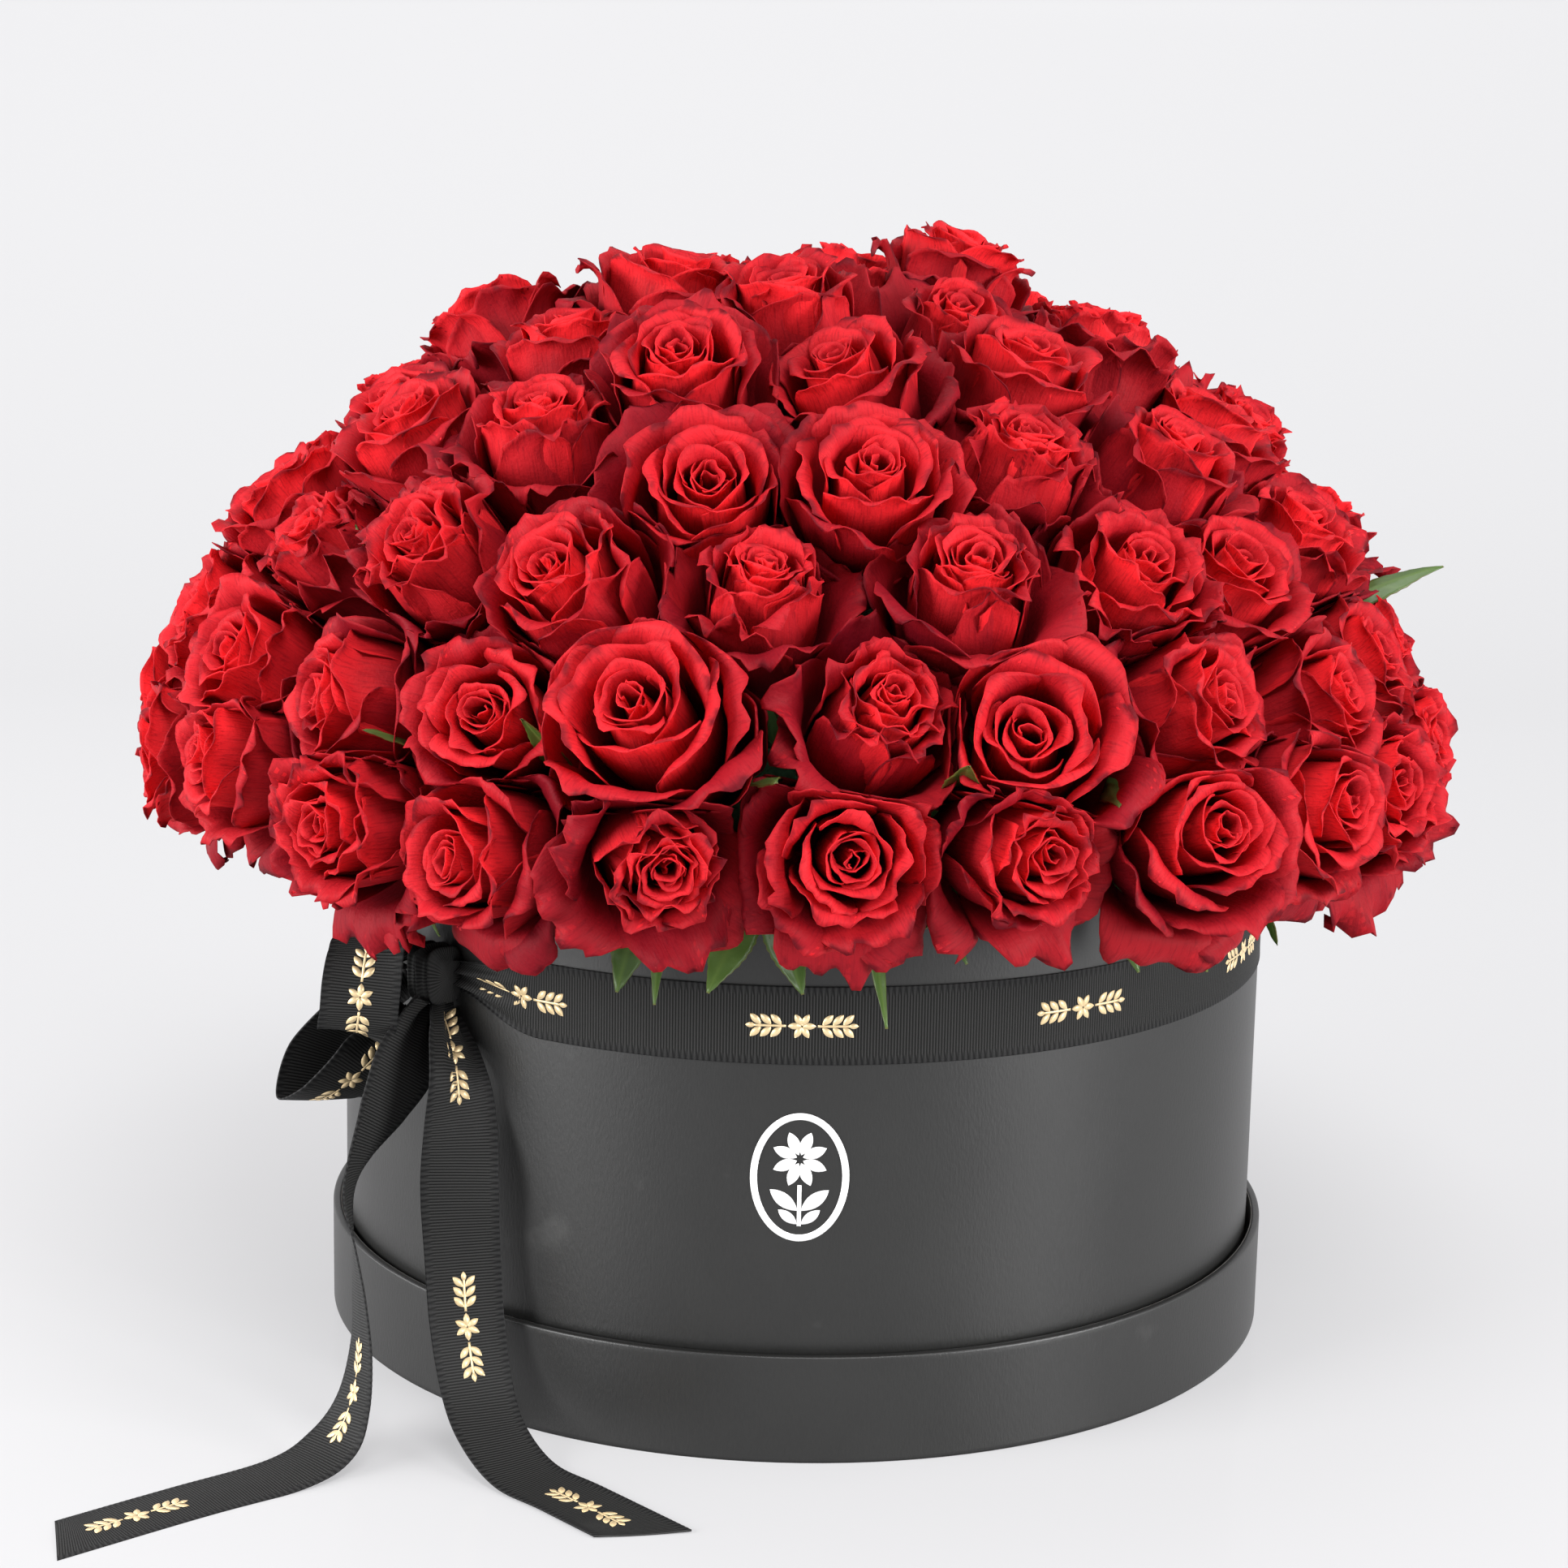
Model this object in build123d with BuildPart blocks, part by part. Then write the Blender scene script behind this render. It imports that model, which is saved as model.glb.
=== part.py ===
"""Round hat box of cut roses, standing in its own upturned lid, with a ribbon band and bow.

Millimetres, +Z up. The origin is the middle of the lid sheet's underside, on the table.
The front of the box faces -Y. An azimuth is an angle about +Z, 0 at the front and
positive towards +X.
"""
import os
from math import cos, pi, radians, sin

from build123d import *

os.makedirs("parts", exist_ok=True)

# ---------------------------------------------------------------- driving dimensions

# Card and covering paper
board_thickness = 2.5
paper_thickness = 0.35

# Hat box
box_radius = 160.0           # outside of the board wall
box_height = 177.0           # board wall, floor side to rim
rim_turn_in = 15.0           # covering paper folded over the rim and down the inside
lid_height = 35.0            # lid board, sheet side to rim
lid_clearance = 2.0          # between the covered wall and the lid's rim, all round
rest_gap = 0.1               # between the box's underside and the lid it stands in
glue_gap = 0.05              # round a disc that is glued inside a tube

# Waterproof liner and floral foam
liner_thickness = 0.6
liner_clearance = 0.4        # liner to wall, and foam to liner floor
liner_below_rim = 12.0
foam_clearance = 4.0         # foam to liner wall
foam_below_rim = 13.0        # top of the middle layer under the box's rim
foam_joint = 0.2             # between neighbouring foam blocks
crown_setback = 50.0         # crown block's side, in from the box wall
crown_cover = 126.0          # crown block's top, under the top of the roses
crown_bevel = 28.0

# Dome of roses: heads touch the inside of half an ellipsoid
dome_overhang = 73.0         # dome's widest radius beyond the box wall
dome_rise = 208.0            # dome's top above its widest level
dome_sink = 15.0             # widest level, under the box's rim
ring_total = 7               # rings of heads, the last one a single rose at the top
lowest_latitude = 11.0
latitude_step = 12.9
rose_pitch = 61.0            # along a ring
ring_first_azimuth = (3.0, 4.0, -4.0, 7.0, 8.0, -7.0, 0.0)
azimuth_wobble = 1.6         # degrees either way
latitude_wobble = 1.1

# One rose
head_radius = 26.0
head_gap = 0.5
head_top_share = 0.80        # of the head's radius, centre to crown
head_foot_share = 0.88
head_belly_share = 0.99      # widest, at the head's centre
head_cheek_share = 0.85      # half a radius above and below it
head_mouth_share = 0.45      # flat top
head_base_share = 0.30       # flat foot
calyx_height = 9.0
calyx_radius = 8.0
stem_radius = 2.6
stem_reach = 140.0           # head's centre to the cut end of its stem, at most
stem_floor_gap = 1.0         # cut end of a stem to the underside of the crown block
seat_gap = 0.05              # between a head, its calyx and its stem

# Leaves that hang between the lowest heads and the box wall
leaf_total = 14
leaf_length = 44.0
leaf_width = 24.0
leaf_thickness = 0.8
leaf_standoff = 12.0         # leaf's foot, out from the box wall
leaf_foot_above_rim = 5.0
leaf_lean = 22.0             # outwards from hanging straight down, degrees

# Ribbon
ribbon_width = 25.0
ribbon_thickness = 0.6
ribbon_gap = 0.1             # band to the box's covering paper
band_below_rim = 25.0        # ribbon band's upper edge, under the box's rim
bow_azimuth = -45.0
bow_clear_angle = 24.0       # no leaf hangs this near the bow
knot_width = 15.0
knot_height = 17.0
knot_depth = 12.0
knot_gap = 1.0               # band to the back of the knot
knot_lift = 3.0              # knot's centre above the band's middle

# Front emblem
emblem_width = 31.0
emblem_height = 42.0
emblem_thickness = 0.3
emblem_centre_share = 0.51   # of the box's height

# ---------------------------------------------------------------- derived sizes

# Levels, from the table up
lid_panel_bottom = paper_thickness
lid_panel_top = lid_panel_bottom + board_thickness
lid_rim_top = lid_panel_bottom + lid_height
base_sheet_bottom = lid_panel_top + rest_gap
box_floor_bottom = base_sheet_bottom + paper_thickness
box_floor_top = box_floor_bottom + board_thickness
box_rim = box_floor_bottom + box_height
liner_bottom = box_floor_top + glue_gap
liner_top = box_rim - liner_below_rim
foam_bottom = liner_bottom + liner_thickness + liner_clearance
foam_top = box_rim - foam_below_rim
foam_layer = (foam_top - foam_bottom - foam_joint) / 2
dome_level = box_rim - dome_sink
dome_top = dome_level + dome_rise
crown_bottom = foam_top + foam_joint
crown_top = dome_top - crown_cover
band_top = box_rim - band_below_rim
band_bottom = band_top - ribbon_width

# Radii, from the axis out
wall_inside = box_radius - board_thickness
wrap_outside = box_radius + paper_thickness
lid_rim_inside = wrap_outside + lid_clearance
lid_rim_outside = lid_rim_inside + board_thickness
lid_wrap_outside = lid_rim_outside + paper_thickness
turn_in_inside = wall_inside - paper_thickness
liner_outside = turn_in_inside - liner_clearance
foam_radius = liner_outside - liner_thickness - foam_clearance
crown_radius = box_radius - crown_setback
dome_radius = box_radius + dome_overhang
band_inside = wrap_outside + ribbon_gap
band_outside = band_inside + ribbon_thickness
knot_centre_radius = band_outside + knot_gap + knot_depth / 2


def outward(azimuth):
    """Level unit vector away from the box's axis."""
    return Vector(sin(radians(azimuth)), -cos(radians(azimuth)), 0)


def at(azimuth, radius, level):
    """Point at an azimuth, a distance from the axis and a height."""
    return outward(azimuth) * radius + Vector(0, 0, level)


def save(piece, name):
    """Label a finished part and write its STEP file."""
    piece.part.label = name
    export_step(piece.part, f"parts/{name}.step")


# ---------------------------------------------------------------- where each rose goes

def rose_axis(ring, index, count):
    """Centre of one head and the direction it faces, square to the dome."""
    if ring == ring_total - 1:
        latitude, azimuth = 90.0, 0.0
    else:
        sway = sin(2.9 * index + 1.7 * ring)
        latitude = lowest_latitude + latitude_step * ring + latitude_wobble * sway
        azimuth = ring_first_azimuth[ring] + 360 * index / count
        azimuth += azimuth_wobble * sin(4.3 * index + 2.1 * ring)
    across, up = cos(radians(latitude)), sin(radians(latitude))
    skin = at(azimuth, dome_radius * across, dome_level + dome_rise * up)
    facing = outward(azimuth) * (across / dome_radius) + Vector(0, 0, up / dome_rise)
    facing = facing.normalized()
    return skin - facing * (head_radius * head_top_share), facing


def ring_of_axes(ring):
    """Every rose of one ring, as (centre, facing) pairs."""
    ring_radius = dome_radius * cos(radians(lowest_latitude + latitude_step * ring))
    count = max(1, round(2 * pi * ring_radius / rose_pitch))
    if ring == ring_total - 1:
        count = 1
    return [rose_axis(ring, index, count) for index in range(count)]


rings = [ring_of_axes(ring) for ring in range(ring_total)]
all_centres = [centre for ring in rings for centre, facing in ring]


def fitted_head_radius(centre):
    """Head's radius, held back where the nearest neighbour is close."""
    nearest = min((other - centre).length for other in all_centres if other is not centre)
    return min(head_radius, nearest / 2 - head_gap)


def upright_plane(centre, facing):
    """Sketch plane through a rose's axis, its Y along the way the rose faces."""
    side = Vector(1, 0, 0) if abs(facing.Z) > 0.999 else facing.cross(Vector(0, 0, 1)).normalized()
    return Plane(origin=centre, x_dir=side, z_dir=side.cross(facing))


# ---------------------------------------------------------------- lid, upturned as a tray

with BuildPart() as lid_sheet:
    with BuildSketch():
        Circle(lid_rim_outside)
    extrude(amount=paper_thickness)
save(lid_sheet, "lid_sheet")

with BuildPart() as lid_panel:
    with BuildSketch(Plane.XY.offset(lid_panel_bottom)):
        Circle(lid_rim_inside - glue_gap)
    extrude(amount=board_thickness)
save(lid_panel, "lid_panel")

with BuildPart() as lid_rim:
    with BuildSketch(Plane.XY.offset(lid_panel_bottom)):
        Circle(lid_rim_outside)
        Circle(lid_rim_inside, mode=Mode.SUBTRACT)
    extrude(amount=lid_height)
save(lid_rim, "lid_rim")

with BuildPart() as lid_wrap:
    with BuildSketch(Plane.XY.offset(lid_panel_bottom)):
        Circle(lid_wrap_outside)
        Circle(lid_rim_outside, mode=Mode.SUBTRACT)
    extrude(amount=lid_height)
    with BuildSketch(Plane.XY.offset(lid_rim_top)):
        Circle(lid_wrap_outside)
        Circle(lid_rim_inside, mode=Mode.SUBTRACT)
    extrude(amount=paper_thickness)
save(lid_wrap, "lid_wrap")

# ---------------------------------------------------------------- box

with BuildPart() as box_base_sheet:
    with BuildSketch(Plane.XY.offset(base_sheet_bottom)):
        Circle(box_radius)
    extrude(amount=paper_thickness)
save(box_base_sheet, "box_base_sheet")

with BuildPart() as box_floor:
    with BuildSketch(Plane.XY.offset(box_floor_bottom)):
        Circle(wall_inside - glue_gap)
    extrude(amount=board_thickness)
save(box_floor, "box_floor")

with BuildPart() as box_wall:
    with BuildSketch(Plane.XY.offset(box_floor_bottom)):
        Circle(box_radius)
        Circle(wall_inside, mode=Mode.SUBTRACT)
    extrude(amount=box_height)
save(box_wall, "box_wall")

# Covering paper: up the outside, over the rim and a short way down the inside
with BuildPart() as box_wrap:
    with BuildSketch(Plane.XY.offset(box_floor_bottom)):
        Circle(wrap_outside)
        Circle(box_radius, mode=Mode.SUBTRACT)
    extrude(amount=box_height)
    with BuildSketch(Plane.XY.offset(box_rim)):
        Circle(wrap_outside)
        Circle(turn_in_inside, mode=Mode.SUBTRACT)
    extrude(amount=paper_thickness)
    with BuildSketch(Plane.XY.offset(box_rim - rim_turn_in)):
        Circle(wall_inside)
        Circle(turn_in_inside, mode=Mode.SUBTRACT)
    extrude(amount=rim_turn_in)
save(box_wrap, "box_wrap")

# ---------------------------------------------------------------- liner and foam

with BuildPart() as liner_cup:
    with BuildSketch(Plane.XY.offset(liner_bottom)):
        Circle(liner_outside)
    extrude(amount=liner_top - liner_bottom)
    with BuildSketch(Plane.XY.offset(liner_bottom + liner_thickness)):
        Circle(liner_outside - liner_thickness)
    extrude(amount=liner_top - liner_bottom, mode=Mode.SUBTRACT)
save(liner_cup, "liner_cup")


def foam_half(bottom, turn, name):
    """Half a round layer of foam, its straight side across the box at an angle."""
    with BuildPart() as half:
        with BuildSketch(Plane.XY.offset(bottom)):
            Circle(foam_radius)
            with Locations(Rotation(0, 0, turn)):
                with Locations((0, foam_joint / 2 - foam_radius)):
                    Rectangle(2 * foam_radius, 2 * foam_radius, mode=Mode.SUBTRACT)
        extrude(amount=foam_layer)
    save(half, name)


# The two layers' joints cross, so that the blocks bond like brickwork
foam_half(foam_bottom, 90, "foam_lower_left")
foam_half(foam_bottom, -90, "foam_lower_right")
foam_half(foam_bottom + foam_layer + foam_joint, 180, "foam_middle_front")
foam_half(foam_bottom + foam_layer + foam_joint, 0, "foam_middle_back")

with BuildPart() as foam_crown:
    with BuildSketch(Plane.XY.offset(crown_bottom)):
        Circle(crown_radius)
    extrude(amount=crown_top - crown_bottom)
    chamfer(foam_crown.faces().sort_by(Axis.Z)[-1].edges(), length=crown_bevel)
save(foam_crown, "foam_crown")

# ---------------------------------------------------------------- roses, ring by ring

for number, ring in enumerate(rings, start=1):
    with BuildPart() as heads:
        for centre, facing in ring:
            size = fitted_head_radius(centre)
            foot, top = -head_foot_share * size, head_top_share * size
            with BuildSketch(upright_plane(centre, facing)):
                base = (head_base_share * size, foot)
                mouth = (head_mouth_share * size, top)
                belly, cheek = (head_belly_share * size, 0), head_cheek_share * size
                with BuildLine():
                    Line((0, foot), base)
                    ThreePointArc(base, (cheek, -size / 2), belly)
                    ThreePointArc(belly, (cheek, size / 2), mouth)
                    Line(mouth, (0, top))
                    Line((0, top), (0, foot))
                make_face()
            revolve(axis=Axis(centre, facing))
    save(heads, f"rose_heads_ring_{number}")

    with BuildPart() as calyxes:
        for centre, facing in ring:
            top = -head_foot_share * fitted_head_radius(centre) - seat_gap
            with BuildSketch(upright_plane(centre, facing)):
                Polygon((0, top), (calyx_radius, top),
                        (calyx_radius * 0.95, top - calyx_height / 2),
                        (stem_radius, top - calyx_height), (0, top - calyx_height), align=None)
            revolve(axis=Axis(centre, facing))
    save(calyxes, f"rose_calyxes_ring_{number}")

    with BuildPart() as stems:
        for centre, facing in ring:
            top = head_foot_share * fitted_head_radius(centre) + calyx_height + 2 * seat_gap
            drop = centre.Z - crown_bottom - stem_floor_gap - stem_radius
            reach = min(stem_reach, drop / max(facing.Z, 0.01))
            with BuildSketch(Plane(origin=centre - facing * top, z_dir=-facing)):
                Circle(stem_radius)
            extrude(amount=reach - top)
    save(stems, f"rose_stems_ring_{number}")

# ---------------------------------------------------------------- leaves under the lowest ring

with BuildPart() as leaves:
    for index in range(leaf_total):
        azimuth = bow_azimuth + 360 * (index + 0.5) / leaf_total
        from_bow = (azimuth - bow_azimuth + 180) % 360 - 180
        if abs(from_bow) < bow_clear_angle:
            continue
        away = outward(azimuth)
        foot = at(azimuth, box_radius + leaf_standoff, box_rim + leaf_foot_above_rim)
        down = away * sin(radians(leaf_lean)) - Vector(0, 0, cos(radians(leaf_lean)))
        level = Vector(0, 0, 1).cross(away)
        with BuildSketch(Plane(origin=foot, x_dir=down, z_dir=down.cross(level))):
            with BuildLine():
                ThreePointArc((0, 0), (leaf_length / 2, leaf_width / 2), (leaf_length, 0))
                ThreePointArc((leaf_length, 0), (leaf_length / 2, -leaf_width / 2), (0, 0))
            make_face()
        extrude(amount=leaf_thickness)
save(leaves, "leaves_under_dome")

# ---------------------------------------------------------------- ribbon band, knot and bow

with BuildPart() as ribbon_band:
    with BuildSketch(Plane.XY.offset(band_bottom)):
        Circle(band_outside)
        Circle(band_inside, mode=Mode.SUBTRACT)
    extrude(amount=ribbon_width)
save(ribbon_band, "ribbon_band")

knot_level = band_bottom + ribbon_width / 2 + knot_lift
knot_centre = at(bow_azimuth, knot_centre_radius, knot_level)
knot_out = outward(bow_azimuth)
knot_side = Vector(0, 0, 1).cross(knot_out)
knot_back = Plane(origin=knot_centre - knot_out * (knot_depth / 2), x_dir=knot_side, z_dir=knot_out)
with BuildPart() as bow_knot:
    with BuildSketch(knot_back):
        RectangleRounded(knot_width, knot_height, knot_width * 0.3)
    extrude(amount=knot_depth)
    fillet(bow_knot.faces().sort_by(Axis(knot_centre, knot_out))[-1].edges(), knot_depth * 0.3)
save(bow_knot, "bow_knot")


def ribbon_strip(stations, name, origin):
    """Thin strip through stations: (x, y, z) of its middle and the half width across it.

    Both are measured from origin. Straight surfaces join one station to the next.
    """
    middles = [origin + Vector(*middle) for middle, across in stations]
    sections = []
    for index, station in enumerate(stations):
        before = middles[max(index - 1, 0)]
        after = middles[min(index + 1, len(middles) - 1)]
        half_across = Vector(*station[1])
        side = half_across.normalized()
        run = (after - before).normalized()
        run = (run - side * run.dot(side)).normalized()
        plane = Plane(origin=middles[index], x_dir=side, z_dir=run)
        sections.append((plane, 2 * half_across.length))
    with BuildPart() as strip:
        for span in zip(sections, sections[1:]):
            for plane, width in span:
                with BuildSketch(plane):
                    Rectangle(width, ribbon_thickness)
            loft(ruled=True)
    save(strip, name)


# Loops, from the knot's centre: out from the knot, round the fold and back to it
upper_loop = [
    ((-8, 6, 4), (3, 4, 2)),
    ((-13, 2, 10), (9, 6, 3)),
    ((-19, -5, 14), (12, 2, 3)),
    ((-20, -14, 10), (12.2, 0, 2.5)),
    ((-21, -19, 1), (12.5, 0, 0)),
    ((-22, -19, -9), (12, 2, -2.5)),
    ((-23, -14, -16), (11.3, 3.5, -4)),
    ((-20, -6, -13), (9, 5, -4)),
    ((-14, -1, -5), (3, 5, -2)),
]
lower_loop = [
    ((-9, 7, -3), (3, 3, 0)),
    ((-15, 8, -7), (7.7, 4.5, -1)),
    ((-26, 11, -16), (10.7, 6.2, -1.5)),
    ((-38, 13, -31), (10.7, 6.2, -1.5)),
    ((-41, 9, -45), (10.7, 6.2, -1.5)),
    ((-33, 0, -41), (10.7, 6.2, -1.5)),
    ((-22, -2, -31), (10.7, 6.2, -1.5)),
    ((-14, 3, -21), (6, 3.5, -1)),
    ((-9, 5, -13), (3, 2, 0)),
]
ribbon_strip(upper_loop, "bow_loop_upper", knot_centre)
ribbon_strip(lower_loop, "bow_loop_lower", knot_centre)

# Tails, level with the knot at the top and lying on the table at the end
floor_lift = ribbon_thickness / 2 + rest_gap - knot_level
right_tail = [
    ((3, 0, -10), (1, 5, -1)),
    ((6, -9, -17), (4, 9, -1)),
    ((9, -18, -28), (8, 8, -1)),
    ((10, -20, -44), (11, 5, -1)),
    ((10, -22, -64), (12.5, 0, 0)),
    ((11, -24, -86), (12, 2, 0)),
    ((13, -30, -108), (11.5, 4, 0)),
    ((17, -39, -127), (10.5, 6.5, 0)),
    ((23, -50, floor_lift + 8), (9.3, 8.3, 0)),
    ((34, -64, floor_lift + 1), (8.8, 8.8, 0)),
    ((50, -79, floor_lift), (8.8, 8.8, 0)),
    ((78, -99, floor_lift), (7.5, 10, 0)),
]
left_tail = [
    ((-3, -3, -9), (1, 5, -1)),
    ((-5, -9, -17), (6, 8, -2)),
    ((-9, -16, -28), (9, 8.3, -2)),
    ((-15, -21, -40), (7, 10.2, -1.5)),
    ((-22, -26, -54), (2.5, 12, -2)),
    ((-25, -29, -66), (0, 12.3, -2)),
    ((-23, -33, -80), (-2, 12, -2)),
    ((-21, -37, -96), (-3.5, 11.8, -2)),
    ((-20, -41, -112), (-4.5, 11.5, -1)),
    ((-22, -46, -128), (-6, 10.8, -1)),
    ((-28, -53, floor_lift + 6), (-8, 9.5, 0)),
    ((-40, -64, floor_lift + 1), (-7.5, 10, 0)),
    ((-68, -85, floor_lift), (-6.2, 10.8, 0)),
    ((-99, -103, floor_lift), (-2, 16, 0)),
]
ribbon_strip(right_tail, "ribbon_tail_right", knot_centre)
ribbon_strip(left_tail, "ribbon_tail_left", knot_centre)

# ---------------------------------------------------------------- front emblem

emblem_centre = Plane(origin=(0, 0, box_floor_bottom + box_height * emblem_centre_share),
                      x_dir=(1, 0, 0), z_dir=(0, -1, 0))
emblem_inside = wrap_outside + ribbon_gap
with BuildPart() as front_emblem:
    with BuildSketch(emblem_centre):
        Ellipse(emblem_width / 2, emblem_height / 2)
    extrude(amount=2 * box_radius)
    with BuildSketch(Plane.XY.offset(box_floor_bottom)):
        Circle(emblem_inside + emblem_thickness)
        Circle(emblem_inside, mode=Mode.SUBTRACT)
    extrude(amount=box_height, mode=Mode.INTERSECT)
save(front_emblem, "front_emblem")
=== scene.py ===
"""Looks for the flower box: about a hundred modelled roses, leaves, paper, ribbon, bow and prints.

Shapes are worked out in millimetres, in the CAD's own frame, and written to Blender in metres.
An azimuth is an angle about +Z, 0 at the front (-Y) and positive towards +X.
"""

import bpy
import numpy as np
from mathutils import Matrix, Vector


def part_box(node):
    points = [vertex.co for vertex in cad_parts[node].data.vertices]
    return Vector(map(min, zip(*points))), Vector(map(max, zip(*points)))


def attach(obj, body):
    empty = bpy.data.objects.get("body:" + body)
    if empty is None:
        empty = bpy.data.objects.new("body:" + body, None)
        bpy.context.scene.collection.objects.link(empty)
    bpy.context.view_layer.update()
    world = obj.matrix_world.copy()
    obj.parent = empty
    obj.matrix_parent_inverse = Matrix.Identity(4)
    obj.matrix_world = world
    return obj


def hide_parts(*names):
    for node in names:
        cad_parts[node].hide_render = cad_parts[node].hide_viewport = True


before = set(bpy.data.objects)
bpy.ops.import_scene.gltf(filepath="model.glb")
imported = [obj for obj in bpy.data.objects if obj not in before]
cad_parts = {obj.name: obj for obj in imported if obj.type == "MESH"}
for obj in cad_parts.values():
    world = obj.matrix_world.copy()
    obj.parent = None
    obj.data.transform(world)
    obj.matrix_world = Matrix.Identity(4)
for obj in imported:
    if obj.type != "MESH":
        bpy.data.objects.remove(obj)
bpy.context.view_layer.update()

MM = 0.001
TAU = 2 * np.pi

# ---- sizes, read from the frame


def node_box(node):
    """Lowest and highest corners of a CAD node, in millimetres."""
    low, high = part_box(node)
    return np.array(low) / MM, np.array(high) / MM


box_low, box_high = node_box("box_wall")
box_radius = (box_high[0] - box_low[0]) / 2
box_rim = box_high[2]
wrap_low, wrap_high = node_box("box_wrap")
wrap_radius = (wrap_high[0] - wrap_low[0]) / 2
lid_low, lid_high = node_box("lid_wrap")
lid_radius = (lid_high[0] - lid_low[0]) / 2
band_low, band_high = node_box("ribbon_band")
knot_low, knot_high = node_box("bow_knot")
knot_centre = (knot_low + knot_high) / 2
emblem_low, emblem_high = node_box("front_emblem")

# ---- sizes, as in the CAD source

board_thickness = 2.5
dome_overhang = 73.0
dome_rise = 208.0
dome_sink = 15.0
ring_total = 7
lowest_latitude = 11.0
latitude_step = 12.9
rose_pitch = 61.0
ring_first_azimuth = (3.0, 4.0, -4.0, 7.0, 8.0, -7.0, 0.0)
azimuth_wobble = 1.6
latitude_wobble = 1.1
head_depth = 26.0 * 0.80     # head's centre under the dome's skin
ribbon_half = 12.5
ribbon_half_thickness = 0.26
bow_azimuth = -45.0
leaf_standoff = 12.0
leaf_foot_above_rim = 5.0
leaf_lean = 22.0

# ---- small helpers


def outward(azimuth):
    """Level unit vector away from the box's axis."""
    angle = np.radians(azimuth)
    return np.array([np.sin(angle), -np.cos(angle), 0.0])


def unit(vector):
    """Vectors of length one, along the last axis."""
    length = np.linalg.norm(vector, axis=-1, keepdims=True)
    return vector / np.maximum(length, 1e-9)


def smooth(value, low, high):
    """0 below low, 1 above high and an S-curve between."""
    share = np.clip((value - low) / (high - low), 0, 1)
    return share * share * (3 - 2 * share)


def grid_quads(rows, columns, wrap=False):
    """Corner indices of a grid's quads, with the last column joined to the first if wrapped."""
    row, column = np.mgrid[0:rows - 1, 0:columns - (0 if wrap else 1)]
    after = (column + 1) % columns
    corners = [row * columns + column, row * columns + after,
               (row + 1) * columns + after, (row + 1) * columns + column]
    return np.stack(corners, -1).reshape(-1, 4)


def shell_quads(rows, columns):
    """Quads of a closed sheet: front grid, back grid and the strip round its edge."""
    front = grid_quads(rows, columns)
    size = rows * columns
    index = np.arange(size).reshape(rows, columns)
    edge = np.concatenate([index[0, :-1], index[:-1, -1], index[-1, :0:-1], index[:0:-1, 0]])
    after = np.roll(edge, -1)
    strip = np.stack([after, edge, edge + size, after + size], -1)
    return front, front[:, ::-1] + size, strip


def grid_normals(points):
    """Unit normals of a grid of points."""
    across = np.gradient(points, axis=1)
    along = np.gradient(points, axis=0)
    return unit(np.cross(across, along))


def tint_rows(*channels):
    """One RGBA row per point from four channels, each a grid or one number."""
    return np.stack(np.broadcast_arrays(*channels), -1).reshape(-1, 4)


def make_mesh(name, points, quads, material, tint=None, bake_uv=None, body="box"):
    """Smooth object from points in millimetres and quads.

    tint is one RGBA value per point and bake_uv one UV pair per quad corner.
    body is the CAD body it moves with.
    """
    mesh = bpy.data.meshes.new(name)
    mesh.vertices.add(len(points))
    mesh.vertices.foreach_set("co", (np.asarray(points) * MM).astype(np.float32).ravel())
    mesh.loops.add(quads.size)
    mesh.loops.foreach_set("vertex_index", quads.astype(np.int32).ravel())
    mesh.polygons.add(len(quads))
    mesh.polygons.foreach_set("loop_start", np.arange(0, quads.size, 4, dtype=np.int32))
    mesh.polygons.foreach_set("use_smooth", np.ones(len(quads), bool))
    mesh.update(calc_edges=True)
    if tint is not None:
        layer = mesh.color_attributes.new("tint", "FLOAT_COLOR", "POINT")
        layer.data.foreach_set("color", np.asarray(tint, np.float32).ravel())
    if bake_uv is not None:
        layer = mesh.uv_layers.new(name="OFBake")
        layer.data.foreach_set("uv", np.asarray(bake_uv, np.float32).ravel())
    mesh.materials.append(material)
    piece = bpy.data.objects.new(name, mesh)
    bpy.context.scene.collection.objects.link(piece)
    if body:
        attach(piece, body)
    return piece


# ---- materials


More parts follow.
